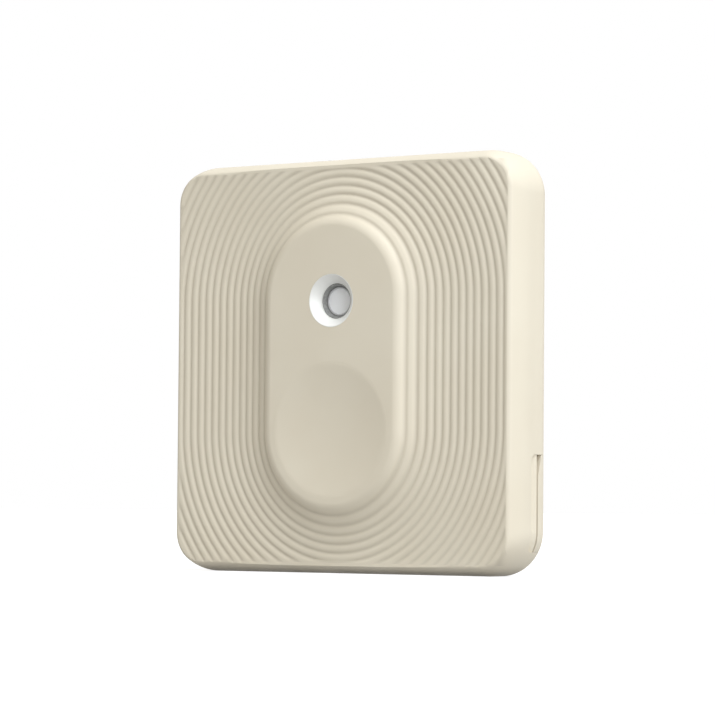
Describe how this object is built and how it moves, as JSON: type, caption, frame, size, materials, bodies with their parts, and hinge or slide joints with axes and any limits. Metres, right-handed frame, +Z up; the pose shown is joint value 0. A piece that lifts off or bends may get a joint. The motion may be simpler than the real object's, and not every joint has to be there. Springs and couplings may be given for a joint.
{
  "type": "room temperature and humidity sensor",
  "caption": "Small square wall tag with a grooved face, a raised pill with a sensor vent and a press pad, and a coin cell behind a back cover.",
  "frame": {"origin": "centre of the flat back face of the cover, where the tag meets the wall", "axes": "+Z up, the grooved face looks along -Y and the back face along +Y, +X is the side with the pry recess"},
  "size_m": [0.036, 0.0071, 0.036],
  "materials": {
    "shell": "matte cream plastic, fine moulded texture",
    "bezel": "satin white plastic",
    "foam": "black closed-cell foam",
    "sensor_cap": "matte light grey plastic",
    "membrane": "matte pale breathing membrane",
    "chip": "matte black moulded package",
    "board": "green solder mask, satin",
    "metal": "bright tin plated sheet",
    "ceramic": "matte fired ceramic",
    "led": "clear resin over a pale base",
    "spring_metal": "plated spring sheet",
    "cradle": "matte black plastic",
    "cell_steel": "nickel plated steel"
  },
  "bodies": {
    "housing": {"front_shell": "shell", "sensor_bezel": "bezel", "sensor_gasket": "foam", "sensor_cap": "sensor_cap", "sensor_membrane": "membrane", "humidity_sensor": "chip", "circuit_board": "board", "radio_chip": "chip", "crystal": "metal", "chip_antenna": "ceramic", "status_led": "led", "capacitors": "ceramic", "switch_base": "chip", "switch_dome": "spring_metal", "switch_cover": "metal", "battery_cradle": "cradle", "positive_contact": "spring_metal", "negative_contact": "spring_metal"},
    "press_pad": {"press_pad": "shell"},
    "switch_plunger": {"switch_plunger": "chip"},
    "back_cover": {"back_cover": "shell", "cell_foam_pad": "foam"},
    "coin_cell": {"cell_can": "cell_steel", "cell_cap": "cell_steel"}
  },
  "joints": [
    {"name": "pad_press", "type": "slide", "parent": "housing", "child": "press_pad", "axis": [0, 1, 0], "range_m": [0, 0.0002], "stiffness_N_per_m": 6000},
    {"name": "plunger_press", "type": "slide", "parent": "housing", "child": "switch_plunger", "axis": [0, 1, 0], "range_m": [0, 0.0002]},
    {"name": "cover_release", "type": "slide", "parent": "housing", "child": "back_cover", "axis": [0, 1, 0], "range_m": [0, 0.014]},
    {"name": "cell_release", "type": "slide", "parent": "housing", "child": "coin_cell", "axis": [0, 1, 0], "range_m": [0, 0.007]}
  ],
  "couplings": [
    {"joint": "plunger_press", "follows": "pad_press", "ratio": 1},
    {"joint": "cell_release", "follows": "cover_release", "ratio": 0.5}
  ]
}
